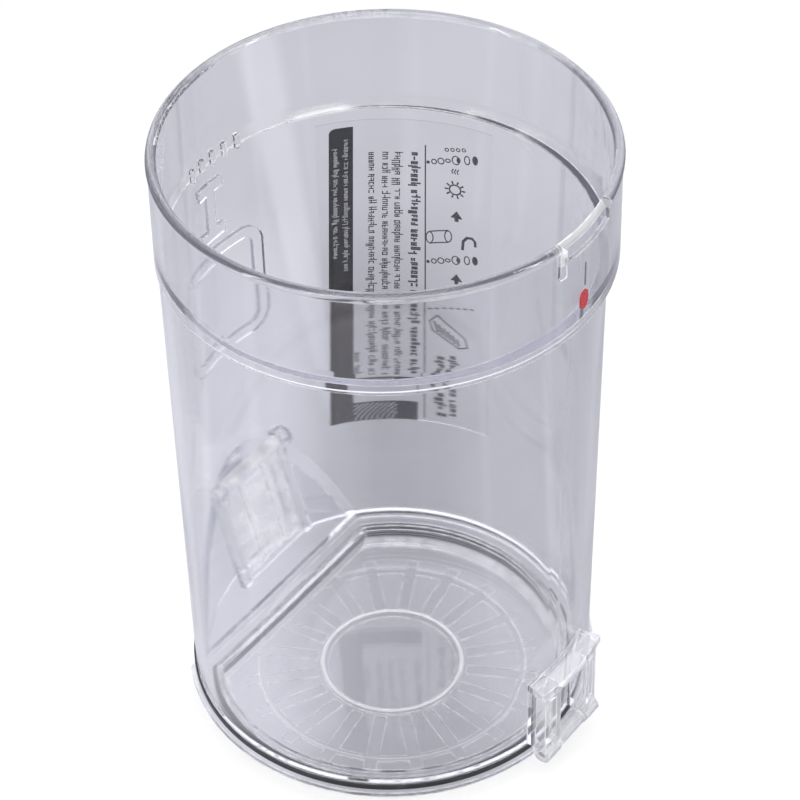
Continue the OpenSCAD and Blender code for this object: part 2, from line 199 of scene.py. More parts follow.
# Painted bright strips of light on the floor, which the clear walls show as upright streaks: turn, half
# width and gain
STRIPS = (
    (28.0, 4.0, 0.45),
    (-8.0, 3.0, 0.35),
    (-72.0, 6.0, 0.3),
    (-118.0, 4.0, 0.4),
    (-150.0, 5.0, 0.35),
    (135.2, 2.2, 0.16),
)


class Value:
    """A shader socket that sums and products are written with."""

    def __init__(self, shader, socket):
        self.shader = shader
        self.socket = socket

    def math(self, operation, first, second):
        return self.shader.node("Math", {"operation": operation}, {0: first, 1: second})

    def __add__(self, other):
        return self.math("ADD", self, other)

    def __radd__(self, other):
        return self.math("ADD", other, self)

    def __sub__(self, other):
        return self.math("SUBTRACT", self, other)

    def __rsub__(self, other):
        return self.math("SUBTRACT", other, self)

    def __mul__(self, other):
        return self.math("MULTIPLY", self, other)

    def __rmul__(self, other):
        return self.math("MULTIPLY", other, self)

    def step(self, low, high, bottom=0.0, top=1.0):
        """A soft step from bottom to top as the value goes from low to high."""
        return self.shader.node(
            "MapRange",
            {"interpolation_type": "SMOOTHSTEP"},
            {"Value": self, "From Min": low, "From Max": high, "To Min": bottom, "To Max": top},
        )


class Shader:
    """The nodes of one material or world."""

    def __init__(self, owner):
        owner.use_nodes = True
        self.tree = owner.node_tree
        self.tree.nodes.clear()

    def node(self, kind, settings=None, inputs=None, output=0):
        made = self.tree.nodes.new("ShaderNode" + kind)
        for name, value in (settings or {}).items():
            setattr(made, name, value)
        for name, value in (inputs or {}).items():
            if isinstance(value, Value):
                self.tree.links.new(value.socket, made.inputs[name])
            else:
                made.inputs[name].default_value = value
        return Value(self, made.outputs[output])

    def bright(self, colour, strength):
        """A colour made brighter or darker by a value."""
        return self.node("VectorMath", {"operation": "SCALE"}, {0: tuple(colour), "Scale": strength})

    def mix(self, share, first, second):
        return self.node("Mix", {"data_type": "RGBA"}, {0: share, 6: first, 7: second}, 2)

    def place(self, scale=(1, 1, 1)):
        """The object's own coordinates, scaled."""
        spot = self.node("TexCoord", output="Object")
        return self.node("Mapping", None, {"Vector": spot, "Scale": scale})

    def along(self, axis, spot=None):
        """One coordinate of a place: 0 is x, 1 is y and 2 is z."""
        return self.node("SeparateXYZ", None, {0: spot or self.place()}, axis)

    def size(self, value):
        """A value without its sign."""
        return self.node("Math", {"operation": "ABSOLUTE"}, {0: value})

    def ray(self, kind):
        return self.node("LightPath", output=kind)

    def noise(self, scale, detail=3.0, spot=None):
        spot = spot or self.place()
        return self.node("TexNoise", None, {"Vector": spot, "Scale": scale, "Detail": detail})

    def surface(self, shader):
        self.node_output("OutputMaterial", shader)

    def node_output(self, kind, shader):
        made = self.tree.nodes.new("ShaderNode" + kind)
        self.tree.links.new(shader.socket, made.inputs["Surface"])


def rgb(colour):
    return (*colour[:3], 1.0)


class PlasticSettings(bpy.types.PropertyGroup):
    tint: bpy.props.FloatVectorProperty(
        name="Tint", description="Colour that one wall leaves of white light",
        subtype="COLOR", size=3, min=0, max=1, default=(0.93, 0.93, 0.945))
    gloss: bpy.props.FloatProperty(
        name="Roughness", description="Roughness of the polished faces", min=0, max=1,
        subtype="FACTOR", default=0.02)
    scuffs: bpy.props.FloatProperty(
        name="Scuffs", description="Extra roughness where the plastic is scuffed", min=0, max=1,
        subtype="FACTOR", default=0.05)
    waviness: bpy.props.FloatProperty(
        name="Waviness", description="Strength of the moulding's faint waves", min=0, max=1,
        subtype="FACTOR", default=0.12)
    edge_width: bpy.props.FloatProperty(
        name="Edge width", description="How far the light on moulded edges reaches", unit="LENGTH",
        min=0, max=0.002, default=0.00035)
    # The pale moulded edges are a painted highlight: pale matt plastic mixed in where an edge is rounded
    painted_edge_highlight: bpy.props.FloatProperty(
        name="Edge light", description="How pale the moulded edges look", min=0, max=1,
        subtype="FACTOR", default=0.7)
    bending: bpy.props.FloatProperty(
        name="Bending of light", description="Index of refraction of the clear plastic",
        min=1, max=2, default=1.49)
    trapped: bpy.props.FloatVectorProperty(
        name="Trapped light", description="Tone of light that has bounced about inside the plastic",
        subtype="COLOR", size=3, min=0, max=1, default=(0.36, 0.36, 0.46))
    shade: bpy.props.FloatProperty(
        name="Light let through", description="Share of lamp light that passes the clear plastic",
        min=0, max=1, subtype="FACTOR", default=0.85)


class TrimSettings(bpy.types.PropertyGroup):
    rubber: bpy.props.FloatVectorProperty(
        name="Rubber", description="Colour of the lid's seal", subtype="COLOR", size=3,
        min=0, max=1, default=(0.022, 0.022, 0.026))
    stripe_pitch: bpy.props.FloatProperty(
        name="Rib pitch", description="Spacing of the seal's fine ribs", unit="LENGTH",
        min=0.0003, max=0.002, default=0.0008)
    lip_r: bpy.props.FloatProperty(
        name="Lip place", description="Inner radius of the seal's outer lip", unit="LENGTH",
        min=0.04, max=0.06, default=0.05153)
    lip_width: bpy.props.FloatProperty(
        name="Lip width", description="Thickness of the seal's outer lip", unit="LENGTH",
        min=0.0002, max=0.0014, default=0.0004)
    lip_z: bpy.props.FloatProperty(
        name="Lip foot", description="Height of the lip's lower edge", unit="LENGTH",
        min=0.0078, max=0.009, default=0.00782)
    lip_height: bpy.props.FloatProperty(
        name="Lip height", description="Height of the seal's outer lip", unit="LENGTH",
        min=0.0004, max=0.0021, default=0.0016)
    steel: bpy.props.FloatVectorProperty(
        name="Steel", description="Colour of the hinge pin", subtype="COLOR", size=3,
        min=0, max=1, default=(0.58, 0.58, 0.60))
    mark: bpy.props.FloatVectorProperty(
        name="Mark", description="Colour of the oval mark", subtype="COLOR", size=3,
        min=0, max=1, default=(0.50, 0.005, 0.010))
    line_length: bpy.props.FloatProperty(
        name="Line", description="Length of the moulded line above the mark", unit="LENGTH",
        min=0, max=0.02, default=0.0066)


class LabelSettings(bpy.types.PropertyGroup):
    ink: bpy.props.FloatVectorProperty(
        name="Ink", description="Colour of the rows and signs", subtype="COLOR", size=3,
        min=0, max=1, default=(0.02, 0.02, 0.028))
    band: bpy.props.FloatVectorProperty(
        name="Band", description="Colour of the broad band", subtype="COLOR", size=3,
        min=0, max=1, default=(0.006, 0.006, 0.007))
    band_warm: bpy.props.FloatVectorProperty(
        name="Warm band", description="Colour of the band's outer edge", subtype="COLOR", size=3,
        min=0, max=1, default=(0.030, 0.012, 0.011))
    pale: bpy.props.FloatVectorProperty(
        name="Pale marks", description="Colour of the marks on the band", subtype="COLOR", size=3,
        min=0, max=1, default=(0.5, 0.5, 0.52))
    print_lift: bpy.props.FloatProperty(
        name="Print lift", description="Distance of the print from the film", unit="LENGTH",
        min=0, max=0.0005, default=0.00002)
    print_thickness: bpy.props.FloatProperty(
        name="Print thickness", description="Thickness of the print", unit="LENGTH",
        min=0, max=0.0005, default=0.00004)
    spread: bpy.props.FloatProperty(
        name="Spread", description="How much wider the print is at the label's lower edge",
        min=0, max=0.2, default=0.10)


class StageSettings(bpy.types.PropertyGroup):
    azimuth: bpy.props.FloatProperty(
        name="Azimuth", description="The camera's turn round the bin", unit="ROTATION",
        default=math.radians(36.4))
    elevation: bpy.props.FloatProperty(
        name="Elevation", description="The camera's height above the horizon", unit="ROTATION",
        default=math.radians(41.35))
    roll: bpy.props.FloatProperty(
        name="Roll", description="The camera's lean", unit="ROTATION", default=math.radians(-1.264))
    distance: bpy.props.FloatProperty(
        name="Distance", description="From the camera to the middle of the bin", unit="LENGTH",
        default=0.81478)
    focal: bpy.props.FloatProperty(
        name="Focal length", description="In picture widths", default=4.1411)
    backdrop: bpy.props.FloatVectorProperty(
        name="Backdrop", description="Tone of the surroundings in the clear plastic",
        subtype="COLOR", size=3, min=0, max=1, default=(0.66, 0.665, 0.73))
    floor: bpy.props.FloatVectorProperty(
        name="Floor", description="Colour of the floor", subtype="COLOR", size=3,
        min=0, max=1, default=(0.93, 0.93, 0.93))
    lamps: bpy.props.FloatProperty(
        name="Lamps", description="Strength of the soft lamps", min=0, max=10, default=1.0)


def settings(context, name):
    return getattr(context.scene, "dust_bin_" + name)


def material(name):
    made = bpy.data.materials.new(name)
    return made, Shader(made)


def finish_node(node, made):
    """Gives a CAD node its finish."""
    thing = frame["nodes"][node]
    for i in range(max(1, len(thing.data.materials))):
        if i < len(thing.data.materials):
            thing.data.materials[i] = made
        else:
            thing.data.materials.append(made)


def new_piece(name, bm, made, body):
    """Turns a bmesh into a piece that moves with a body."""
    mesh = bpy.data.meshes.new(name)
    bm.normal_update()
    bm.to_mesh(mesh)
    bm.free()
    mesh.materials.append(made)
    thing = bpy.data.objects.new(name, mesh)
    bpy.context.scene.collection.objects.link(thing)
    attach(thing, body)
    return thing


def clear_plastic(name, look, pale_where, extra_waves=0.0, edges=1.0, reach=1.0, sharp=0.90,
                  depth=10.0, dark=1.0):
    """Polished clear plastic with faint scuffs, the waves of its moulding and pale edges.

    pale_where gives the share of pale plastic that the shape's own places add: painted highlights such as a
    bead's crest, and the flap's milky tone.
    edges, reach and sharp say how pale, how wide and how sharply turned the pale edges are; these pale edges
    are painted highlights. Light that has turned depth times or more inside the plastic gets the trapped
    tone, times dark.
    """
    made, shade = material(name)
    rounded = shade.node("Bevel", {"samples": 2}, {"Radius": look.edge_width * reach})
    flat = shade.node("NewGeometry", output="True Normal")
    turn = shade.node("VectorMath", {"operation": "DOT_PRODUCT"}, {0: rounded, 1: flat}, 1)
    uneven = shade.noise(260.0, 1.0).step(0.3, 0.6, 0.45, 1.0)
    # Painted highlight: where the rounded normal turns away from the true one, pale matt plastic is mixed in
    edge = turn.step(0.995, sharp) * uneven * min(1.0, look.painted_edge_highlight * edges)
    scuffs = shade.noise(900.0, 2.0, shade.place((1, 1, 0.25))).step(0.52, 0.75)
    haze = shade.noise(60.0, 1.0).step(0.45, 0.7)
    broad = shade.noise(55.0, 1.0, shade.place((1, 1, 0.35)))
    waves = shade.node("Bump", None, {
        "Strength": look.waviness + extra_waves, "Distance": 0.0004, "Height": broad, "Normal": rounded})
    plastic = shade.node("BsdfPrincipled", None, {
        "Base Color": shade.mix(haze * 0.5, rgb(look.tint), rgb([c * 0.97 for c in look.tint])),
        "Roughness": look.gloss + look.scuffs * scuffs * haze,
        "IOR": look.bending,
        "Transmission Weight": 1.0,
        "Normal": waves})
    # The pale matt plastic that the painted highlights, and the flap's milky tone, mix in
    pale = shade.node("BsdfPrincipled", None, {
        "Base Color": (0.97, 0.97, 0.98, 1), "Roughness": 0.25, "IOR": look.bending})
    share = edge.math("MAXIMUM", edge, pale_where(shade))
    solid = shade.node("MixShader", None, {0: share, 1: plastic, 2: pale})
    bounces = shade.ray("Ray Depth")
    trapped = shade.node("Emission", None, {"Color": rgb([c * dark for c in look.trapped])})
    solid = shade.node("MixShader", None, {0: bounces.step(depth, depth + 5.0), 1: solid, 2: trapped})
    passed = shade.node("BsdfTransparent", None, {
        "Color": rgb([look.shade * (0.5 + 0.5 * c) for c in look.tint])})
    shade.surface(shade.node("MixShader", None, {0: shade.ray("Is Shadow Ray"), 1: solid, 2: passed}))
    return made


class DUSTBIN_OT_clear_plastic(bpy.types.Operator):
    """Finishes the cup, the bottom lid and the check flap in clear plastic"""
    bl_idname = "dust_bin.clear_plastic"
    bl_label = "Clear plastic"

    def execute(self, context):
        look = settings(context, "plastic")
        cup = clear_plastic("cup plastic", look, self.on_cup, edges=1.2, reach=1.3, depth=8.0)
        lid = clear_plastic("lid plastic", look, self.on_lid, 0.05, 1.4, 1.8, 0.965, depth=9.0, dark=0.25)
        flap = clear_plastic("flap plastic", look, self.on_flap, 0.3, 1.4, 3.0, 0.94, depth=14.0)
        finish_node("cup_body", cup)
        finish_node("bottom_lid", lid)
        finish_node("inlet_flap", flap)
        return {"FINISHED"}

    def radius(self, shade):
        flat = shade.place((1, 1, 0))
        return shade.node("VectorMath", {"operation": "LENGTH"}, {0: flat}, 1)

    def on_cup(self, shade):
        """Painted highlights on the hinge ears outside the tube, the lock pocket's slope and the ledge on
        the duct's side.
        """
        x = shade.along(0)
        y = shade.along(1)
        height = shade.along(2)
        rim = max(v.co.z for v in frame["nodes"]["cup_body"].data.vertices)
        ears = self.radius(shade).step(*BRACKET_RADIUS) * height.step(*BRACKET_HEIGHT)
        pocket = shade.size(y - POCKET_MIDDLE).step(*POCKET_HALF_WIDTH) * x.step(*POCKET_SIDE)
        pocket = pocket * height.step(*(rim - deep for deep in POCKET_FOOT))
        pocket = pocket * height.step(*(rim - deep for deep in POCKET_TOP))
        ledge = shade.size(height - (rim - COLLAR_HEIGHT)).step(*LEDGE_REACH)
        ledge = ledge * (x * DUCT_WAY[0] + y * DUCT_WAY[1]).step(*DUCT_SIDE)
        ledge = ledge * shade.noise(40.0, 2.0).step(0.45, 0.6)
        return BRACKET_SHARE * ears + POCKET_SHARE * pocket + LEDGE_SHARE * ledge

    def on_lid(self, shade):
        """Painted highlights on the crests of the two round beads in the lid's floor, and on the hinge
        knuckle.
        """
        radius = self.radius(shade)
        crests = 0.0
        for middle, half, share in BEADS:
            crests = shade.size(radius - middle).step(half, half * 0.5) * share + crests
        return crests + radius.step(*KNUCKLE_RADIUS) * KNUCKLE_SHARE

    def on_flap(self, shade):
        """The whole flap is slightly milky."""
        return shade.noise(160.0, 3.0).step(0.35, 0.7, 0.12, 0.40)


class DUSTBIN_OT_trim(bpy.types.Operator):
    """Finishes the lid's seal in rubber and the hinge pin in drawn steel"""
    bl_idname = "dust_bin.trim"
    bl_label = "Seal and pin"

    def execute(self, context):
        look = settings(context, "trim")
        made, shade = material("seal rubber")
        dust = shade.noise(380.0, 5.0).step(0.5, 0.8)
        grain = shade.noise(2600.0, 2.0)
        height = shade.along(2)
        # Pale stripes painted in the seal's colour below the lip, not in its shape
        stripes = height.math("SINE", height * (math.tau / look.stripe_pitch), 0.0).step(0.1, 0.7)
        stripes = stripes * height.step(look.lip_z, look.lip_z - STRIPE_FADE)
        plain = shade.mix(dust * 0.35, rgb(look.rubber), (0.10, 0.10, 0.11, 1))
        shade.surface(shade.node("BsdfPrincipled", None, {
            "Base Color": shade.mix(stripes * 0.7, plain, (0.62, 0.62, 0.66, 1)),
            "Roughness": 0.42 + 0.2 * dust,
            "Normal": shade.node("Bump", None, {"Strength": 0.3, "Distance": 0.0001, "Height": grain})}))
        finish_node("lid_seal", made)
        new_piece("seal_lip", self.lip(look), made, "lid")

        made, shade = material("pin steel")
        drawn = shade.noise(900.0, 3.0, shade.place((1, 0.02, 1)))
        shade.surface(shade.node("BsdfPrincipled", None, {
            "Base Color": shade.mix(drawn.step(0.4, 0.65) * 0.4, rgb(look.steel), (0.36, 0.36, 0.38, 1)),
            "Metallic": 1.0,
            "Roughness": 0.22 + 0.18 * drawn,
            "Normal": shade.node("Bump", None, {"Strength": 0.15, "Distance": 0.00005, "Height": drawn})}))
        finish_node("lid_hinge_pin", made)
        return {"FINISHED"}

    def lip(self, look):
        """The seal's thin outer lip, a band round the lid's seat."""
        bm = bmesh.new()
        bmesh.ops.create_grid(
            bm, x_segments=1, y_segments=1, size=0.5,
            matrix=Matrix.Translation((look.lip_r + look.lip_width / 2, 0, look.lip_z + look.lip_height / 2))
            @ Matrix.Diagonal((look.lip_width, 1, look.lip_height, 1))
            @ Matrix.Rotation(math.pi / 2, 4, "X"))
        bmesh.ops.bevel(bm, geom=bm.verts[:], offset=look.lip_width * 0.4, offset_type="OFFSET",
                        affect="VERTICES", segments=3, profile=0.5, material=-1)
        bmesh.ops.delete(bm, geom=bm.faces[:], context="FACES_ONLY")
        bmesh.ops.spin(bm, geom=bm.verts[:] + bm.edges[:], cent=(0, 0, 0), axis=(0, 0, 1),
                       angle=math.tau, steps=180, use_merge=True, use_duplicate=False)
        bmesh.ops.remove_doubles(bm, verts=bm.verts[:], dist=1e-7)
        bmesh.ops.recalc_face_normals(bm, faces=bm.faces[:])
        return bm


class Wrap:
    """The label's face, read from its node: u runs round the tube from its near edge, z up, in metres.

    The print keeps gap from the label's edges, and widens downwards from the line at spread_from.
    """

    def __init__(self):
        spots = [v.co for v in frame["nodes"]["label"].data.vertices]
        self.low = min(p.z for p in spots)
        self.high = max(p.z for p in spots)
        self.low_r = max(math.hypot(p.x, p.y) for p in spots if p.z < self.low + 1e-5)
        self.high_r = max(math.hypot(p.x, p.y) for p in spots if p.z > self.high - 1e-5)
        self.start = min(math.atan2(p.y, p.x) for p in spots)
        self.end = max(math.atan2(p.y, p.x) for p in spots)
        self.width = (self.end - self.start) * (self.low_r + self.high_r) / 2
        self.gap = 0.0004
        self.spread_from = 0.010

    def point(self, u, z, lift, spread):
        share = (z - self.low) / (self.high - self.low)
        r = self.low_r + (self.high_r - self.low_r) * share
        fan = self.spread_from + (u - self.spread_from) * (1 + spread * (1 - share))
        fan = min(max(fan, self.gap), self.width - self.gap)
        angle = self.start + fan / self.width * (self.end - self.start)
        return Vector(((r + lift) * math.cos(angle), (r + lift) * math.sin(angle), z))


def patch(bm, u, z, wide, tall, turn=0.0):
    """A flat rectangle of print about (u, z), in millimetres."""
    along = max(1, round(wide / 1.5))
    up = max(1, round(tall / 8.0)) if turn == 0.0 else max(1, round(tall / 1.5))
    bmesh.ops.create_grid(
        bm, x_segments=along, y_segments=up, size=0.5,
        matrix=Matrix.Translation((u * MM, z * MM, 0)) @ Matrix.Rotation(turn, 4, "Z")
        @ Matrix.Diagonal((wide * MM, tall * MM, 1, 1)))


def stroke(bm, points, width):
    """A thin line of print through points, in millimetres."""
    for (u0, z0), (u1, z1) in zip(points, points[1:]):
        length = math.hypot(u1 - u0, z1 - z0) + width * 0.6
        turn = math.atan2(z1 - z0, u1 - u0) or 1e-9
        patch(bm, (u0 + u1) / 2, (z0 + z1) / 2, length, width, turn)


def ring(bm, u, z, radius, width, sides=16, tall=1.0):
    """A round or oval line of print, in millimetres."""
    turns = [i * math.tau / sides for i in range(sides + 1)]
    stroke(bm, [(u + radius * math.cos(a), z + radius * tall * math.sin(a)) for a in turns], width)


def dot(bm, u, z, half_wide, half_tall):
    """A filled oval of print, in millimetres."""
    bmesh.ops.create_circle(
        bm, cap_ends=True, segments=14, radius=1.0,
        matrix=Matrix.Translation((u * MM, z * MM, 0))
        @ Matrix.Diagonal((half_wide * MM, half_tall * MM, 1, 1)))


def print_rows(bm, chance, u, top, bottom, size, weight=0.26, word=(2, 9)):
    """A row of generic signs that runs down the label, in millimetres."""
    z = top
    while z > bottom:
        for _ in range(chance.randint(*word)):
            tall = size * chance.uniform(0.36, 0.52)
            if z - tall < bottom:
                return
            line = weight * size * 0.5
            high = size * chance.choice((0.62, 0.62, 0.72, 1.0))
            for end in (line / 2, tall - line / 2):
                if chance.random() < 0.8:
                    patch(bm, u + (size * 0.62 - high) / 2 * chance.choice((-1, 1)), z - end, high, line)
            for bar in chance.sample((-0.27, 0.0, 0.27), chance.choice((1, 2, 2))):
                patch(bm, u + size * bar, z - tall / 2, line, tall)
            z -= tall + size * 0.14
        z -= size * 0.4


def wrap_print(bm, look, wrap, extra=0.0):
    """Lays flat print on the label's face and gives it its thickness."""
    for v in bm.verts:
        v.co = wrap.point(v.co.x, v.co.y, look.print_lift + extra, look.spread)
    bmesh.ops.solidify(bm, geom=bm.faces[:], thickness=-look.print_thickness)


def ink(name, colour, rough=0.5):
    """Printing ink that is a little uneven."""
    made, shade = material(name)
    worn = shade.noise(1400.0, 4.0).step(0.35, 0.75)
    shade.surface(shade.node("BsdfPrincipled", None, {
        "Base Color": shade.mix(worn * 0.5, rgb(colour), rgb([c * 1.6 + 0.01 for c in colour])),
        "Roughness": rough + 0.12 * worn,
        "Specular IOR Level": 0.2}))
    return made


class DUSTBIN_OT_label(bpy.types.Operator):
    """Finishes the label's clear film"""
    bl_idname = "dust_bin.label"
    bl_label = "Label film"

    def execute(self, context):
        made, shade = material("label film")
        ripple = shade.noise(140.0, 2.0)
        film = shade.node("BsdfPrincipled", None, {
            "Base Color": shade.mix(ripple.step(0.4, 0.7), (0.975, 0.975, 0.98, 1), (0.96, 0.96, 0.97, 1)),
            "Roughness": 0.03 + 0.03 * ripple,
            "IOR": 1.22,
            "Transmission Weight": 1.0,
            "Normal": shade.node("Bump", None, {"Strength": 0.1, "Distance": 0.0001, "Height": ripple})})
        passed = shade.node("BsdfTransparent", None, {"Color": (0.98, 0.98, 0.98, 1)})
        shade.surface(shade.node("MixShader", None, {0: shade.ray("Is Shadow Ray"), 1: film, 2: passed}))
        finish_node("label", made)
        return {"FINISHED"}


class DUSTBIN_OT_print(bpy.types.Operator):
    """Prints the label: a broad band, rows of generic signs, simple shapes and a hatched field"""
    bl_idname = "dust_bin.print"
    bl_label = "Label print"

    def execute(self, context):
        look = settings(context, "label")
        wrap = Wrap()
        chance = random.Random(7)

        band = bmesh.new()
        for place in BAND:
            patch(band, *place)
        slice_width = CORNER_RADIUS / CORNER_SLICES
        for i in range(CORNER_SLICES):
            u = (i + 0.5) * slice_width
            tall = math.sqrt(CORNER_RADIUS ** 2 - u ** 2)
            patch(band, CORNER[0] + u, CORNER[1] + tall / 2 - 0.05, slice_width + 0.02, tall + 0.1)
        wrap_print(band, look, wrap)
        made, shade = material("band ink")
        across = shade.along(0)
        height = shade.along(2)
        worn = shade.noise(1100.0, 5.0)
        dull = shade.noise(90.0, 3.0, shade.place((1, 1, 0.4))).step(0.4, 0.65)
        warm = across.step(-0.0365, -0.0385) * height.step(0.090, 0.083) * (0.5 + 0.5 * dull)
        base = shade.mix(warm, rgb(look.band), rgb(look.band_warm))
        shade.surface(shade.node("BsdfPrincipled", None, {
            "Base Color": shade.mix(worn.step(0.55, 0.8) * 0.12, base, (0.08, 0.07, 0.07, 1)),
            "Roughness": 0.5 + 0.2 * worn,
            "Specular IOR Level": 0.1}))
        new_piece("label_band", band, made, "cup")

        marks = bmesh.new()
        for row in BAND_ROWS:
            print_rows(marks, chance, *row)
        for i in range(DIAGONALS):
            line = []
            for k in range(DIAGONAL_STEPS + 1):
                share = k / DIAGONAL_STEPS
                u = DIAGONAL_FOOT + DIAGONAL_PITCH * i - DIAGONAL_LEAN * share ** DIAGONAL_BEND
                if FIELD_ENDS[0] < u < FIELD_ENDS[1]:
                    line.append((u, DIAGONAL_LOW + DIAGONAL_HEIGHT * share))
            stroke(marks, line, DIAGONAL_WIDTH)
        wrap_print(marks, look, wrap, -PALE_IN_FRONT * look.print_thickness)
        new_piece("label_band_marks", marks, ink("pale ink", look.pale), "cup")

        rows = bmesh.new()
        for row in ROWS:
            print_rows(rows, chance, *row)
        wrap_print(rows, look, wrap)
        new_piece("label_rows", rows, ink("row ink", look.ink), "cup")

        signs = bmesh.new()
        for width, *points in LINES:
            stroke(signs, points, width)
        for place in RINGS:
            ring(signs, *place)
        for i in range(4):
            ring(signs, 12.6 - i * 1.5, 131.6 + 0.3 * i, 0.48, 0.26, 8)
        for low in PARTS_ROWS_AT:
            for u, wide, tall, full in PARTS_ROW:
                z = low + PARTS_SLOPE * (17.6 - u)
                if full:
                    dot(signs, u, z, wide, tall)
                else:
                    ring(signs, u, z, wide, 0.3, 12, tall / wide)
        for i in range(3):
            stroke(signs, [(9.6 + 0.7 * i, 124.6), (9.9 + 0.7 * i, 125.3), (9.5 + 0.7 * i, 126.0)], 0.3)
        for i in range(BURST_LINES):
            a = i * math.tau / BURST_LINES
            ends = [(BURST[0] + r * math.cos(a), BURST[1] + r * math.sin(a)) for r in BURST_RADII]
            stroke(signs, ends, 0.45)
        for z in ARROWS_AT:
            patch(signs, ARROW_PLACE, z - 1.0, 1.1, 1.2)
            for i in range(ARROW_SLICES):
                patch(signs, ARROW_PLACE, z - 0.3 + 0.42 * i, 2.9 - 0.6 * i, 0.46)
        for i in range(7):
            patch(signs, 16.8 - 1.9 * i, 80.5 + 0.42 * i, 1.1, 0.4)
        for i in range(6):
            stroke(signs, [(15.6 - 1.2 * i, 76.4 - 0.95 * i), (14.6 - 1.1 * i, 73.2 - 0.7 * i)], 0.55)
        patch(signs, *BOX)
        wrap_print(signs, look, wrap)
        new_piece("label_signs", signs, ink("sign ink", look.ink), "cup")

        hatch = bmesh.new()
        patch(hatch, *FIELD)
        wrap_print(hatch, look, wrap)
        new_piece("label_hatch", hatch, ink("hatch ink", look.ink), "cup")
        return {"FINISHED"}


class DUSTBIN_OT_marks(bpy.types.Operator):
    """Finishes the oval mark, and adds the line above it"""
    bl_idname = "dust_bin.marks"
    bl_label = "Marks"

    def execute(self, context):
        look = settings(context, "trim")
        made, shade = material("red ink")
        uneven = shade.noise(1500.0, 3.0)
        shade.surface(shade.node("BsdfPrincipled", None, {
            "Base Color": shade.mix(
                uneven.step(0.35, 0.7), rgb(look.mark), rgb([c * 0.75 for c in look.mark])),
            "Roughness": 0.2 + 0.15 * uneven,
            "Coat Weight": 0.4}))
        finish_node("alignment_mark", made)

        low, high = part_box("alignment_mark")
        line = bmesh.new()
        middle = (high.x - 0.00028, 0.0005, high.z + 0.0012 + look.line_length / 2)
        bmesh.ops.create_cube(line, size=1.0, matrix=Matrix.Translation(middle)
                              @ Matrix.Diagonal((0.00035, 0.0004, look.line_length, 1)))
        bmesh.ops.bevel(line, geom=line.edges[:], offset=0.0001, offset_type="OFFSET", affect="EDGES",
                        segments=2, profile=0.5, material=-1)
        new_piece("collar_line", line, ink("line", (0.16, 0.16, 0.18), 0.3), "cup")
        return {"FINISHED"}


def soft_lamp(name, power, size, place, target, look):
    """A soft lamp that isn't seen itself, neither by the camera nor through the plastic."""
    data = bpy.data.lights.new(name, "AREA")
    data.shape = "RECTANGLE"
    data.size, data.size_y = size
    data.energy = power * look.lamps
    lamp = bpy.data.objects.new(name, data)
    lamp.location = place
    lamp.rotation_euler = (Vector(target) - Vector(place)).to_track_quat("-Z", "Y").to_euler()
    lamp.visible_camera = False
    lamp.visible_transmission = False
    bpy.context.scene.collection.objects.link(lamp)
    return lamp


